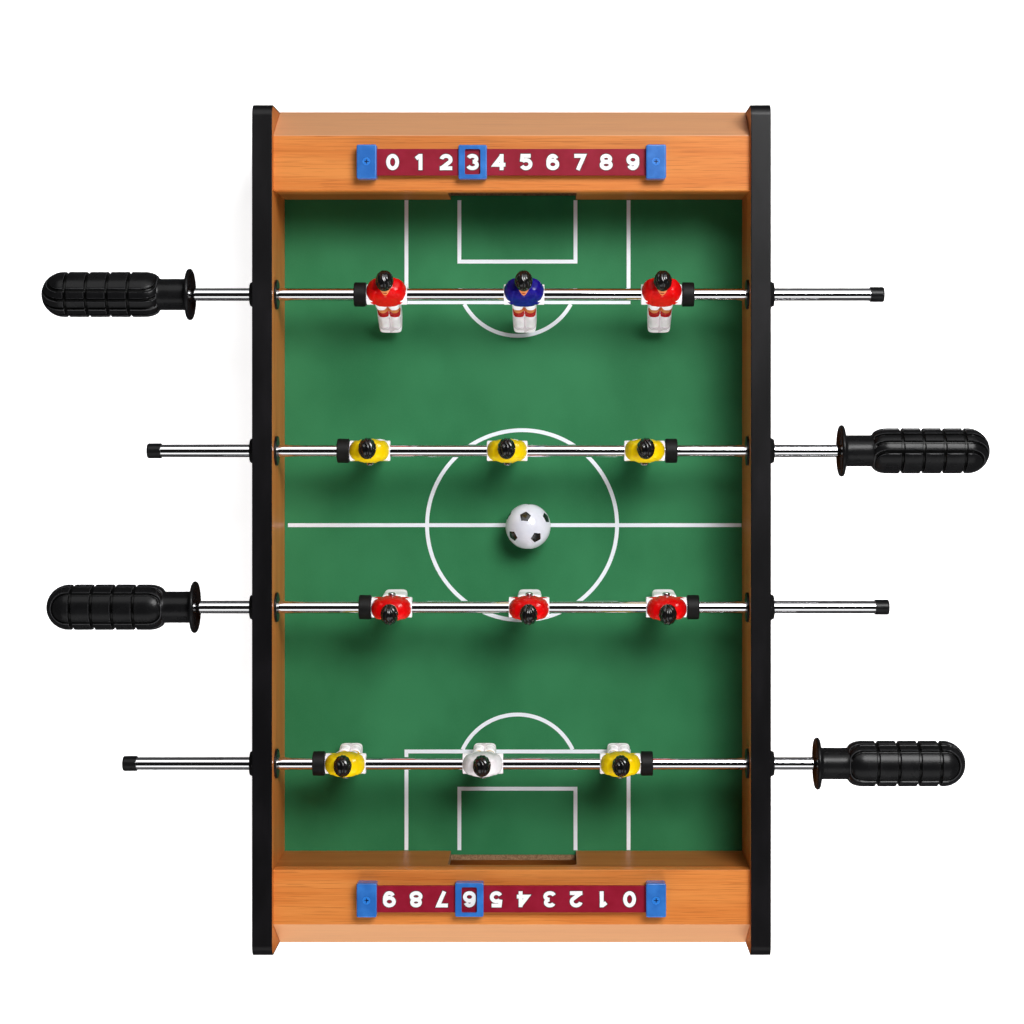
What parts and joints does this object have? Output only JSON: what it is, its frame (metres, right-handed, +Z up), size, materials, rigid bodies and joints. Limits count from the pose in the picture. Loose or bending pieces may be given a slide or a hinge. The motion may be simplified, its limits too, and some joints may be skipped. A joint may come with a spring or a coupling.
{
  "type": "tabletop foosball",
  "caption": "Small wooden table football game with sliding, spinning player rods, goal pockets, sliding score counters and a ball.",
  "frame": {"origin": "centre of the table's footprint, on the surface that its feet stand on", "axes": "+X to the right along the rods, +Y from the near goal to the far goal, +Z up"},
  "size_m": [0.5734, 0.51, 0.109],
  "materials": {
    "wood_board": "printed beech-grain laminate, satin",
    "raw_board": "raw fibreboard",
    "black_edging": "satin edge banding",
    "field_print": "printed sheet, satin",
    "score_maroon": "satin moulded",
    "score_blue": "gloss moulded",
    "screw_steel": "zinc plated",
    "black_plastic": "satin moulded",
    "black_rubber": "matt",
    "chrome_rod": "polished",
    "player_red": "painted, gloss",
    "player_yellow": "painted, gloss",
    "keeper_blue": "painted, gloss",
    "keeper_white": "painted, gloss",
    "ball_plastic": "gloss, black pentagons"
  },
  "bodies": {
    "root": {"side_panel_left": "wood_board", "edge_band_left": "black_edging", "side_panel_right": "wood_board", "edge_band_right": "black_edging", "playfield_board": "raw_board", "playfield_sheet": "field_print", "goal_wall_far": "wood_board", "end_top_board_far": "wood_board", "end_slope_board_far": "wood_board", "end_lower_board_far": "wood_board", "pocket_floor_far": "wood_board", "score_strip_far": "score_maroon", "score_brackets_far": "score_blue", "goal_wall_near": "wood_board", "end_top_board_near": "wood_board", "end_slope_board_near": "wood_board", "end_lower_board_near": "wood_board", "pocket_floor_near": "wood_board", "score_strip_near": "score_maroon", "score_brackets_near": "score_blue", "score_bracket_screws": "screw_steel", "panel_screws": "screw_steel", "rubber_feet": "black_rubber", "rod_bushings": "black_plastic", "bushing_collars": "black_plastic"},
    "red_defence_bumpers": {"red_defence_bumpers": "black_rubber"},
    "red_defence_rod": {"red_defence_tube": "chrome_rod", "red_defence_end_cap": "black_plastic", "red_defence_handle": "black_plastic", "red_defence_player_left": "player_red", "red_defence_player_keeper": "keeper_blue", "red_defence_player_right": "player_red", "red_defence_player_screws": "screw_steel"},
    "yellow_attack_bumpers": {"yellow_attack_bumpers": "black_rubber"},
    "yellow_attack_rod": {"yellow_attack_tube": "chrome_rod", "yellow_attack_end_cap": "black_plastic", "yellow_attack_handle": "black_plastic", "yellow_attack_player_left": "player_yellow", "yellow_attack_player_middle": "player_yellow", "yellow_attack_player_right": "player_yellow", "yellow_attack_player_screws": "screw_steel"},
    "red_attack_bumpers": {"red_attack_bumpers": "black_rubber"},
    "red_attack_rod": {"red_attack_tube": "chrome_rod", "red_attack_end_cap": "black_plastic", "red_attack_handle": "black_plastic", "red_attack_player_left": "player_red", "red_attack_player_middle": "player_red", "red_attack_player_right": "player_red", "red_attack_player_screws": "screw_steel"},
    "yellow_defence_bumpers": {"yellow_defence_bumpers": "black_rubber"},
    "yellow_defence_rod": {"yellow_defence_tube": "chrome_rod", "yellow_defence_end_cap": "black_plastic", "yellow_defence_handle": "black_plastic", "yellow_defence_player_left": "player_yellow", "yellow_defence_player_keeper": "keeper_white", "yellow_defence_player_right": "player_yellow", "yellow_defence_player_screws": "screw_steel"},
    "score_slider_far": {"score_slider_far": "score_blue"},
    "score_slider_near": {"score_slider_near": "score_blue"},
    "ball": {"ball": "ball_plastic"}
  },
  "joints": [
    {"name": "red_defence_slide", "type": "slide", "parent": "root", "child": "red_defence_bumpers", "axis": [1, 0, 0], "range_m": [-0.0457, 0.0311]},
    {"name": "red_defence_spin", "type": "hinge", "parent": "red_defence_bumpers", "child": "red_defence_rod", "pos_m": [0, 0.1419, 0.083], "axis": [1, 0, 0], "continuous": true},
    {"name": "yellow_attack_slide", "type": "slide", "parent": "root", "child": "yellow_attack_bumpers", "axis": [1, 0, 0], "range_m": [-0.0355, 0.0413]},
    {"name": "yellow_attack_spin", "type": "hinge", "parent": "yellow_attack_bumpers", "child": "yellow_attack_rod", "pos_m": [0, 0.0473, 0.083], "axis": [1, 0, 0], "continuous": true},
    {"name": "red_attack_slide", "type": "slide", "parent": "root", "child": "red_attack_bumpers", "axis": [1, 0, 0], "range_m": [-0.0487, 0.0281]},
    {"name": "red_attack_spin", "type": "hinge", "parent": "red_attack_bumpers", "child": "red_attack_rod", "pos_m": [0, -0.0473, 0.083], "axis": [1, 0, 0], "continuous": true},
    {"name": "yellow_defence_slide", "type": "slide", "parent": "root", "child": "yellow_defence_bumpers", "axis": [1, 0, 0], "range_m": [-0.0208, 0.056]},
    {"name": "yellow_defence_spin", "type": "hinge", "parent": "yellow_defence_bumpers", "child": "yellow_defence_rod", "pos_m": [0, -0.1419, 0.083], "axis": [1, 0, 0], "continuous": true},
    {"name": "score_far", "type": "slide", "parent": "root", "child": "score_slider_far", "axis": [1, 0, 0], "range_m": [-0.0483, 0.0945]},
    {"name": "score_near", "type": "slide", "parent": "root", "child": "score_slider_near", "axis": [1, 0, 0], "range_m": [-0.0463, 0.0965]},
    {"name": "ball_lift", "type": "slide", "parent": "root", "child": "ball", "axis": [0, 0, 1], "range_m": [0, 0.12]}
  ]
}
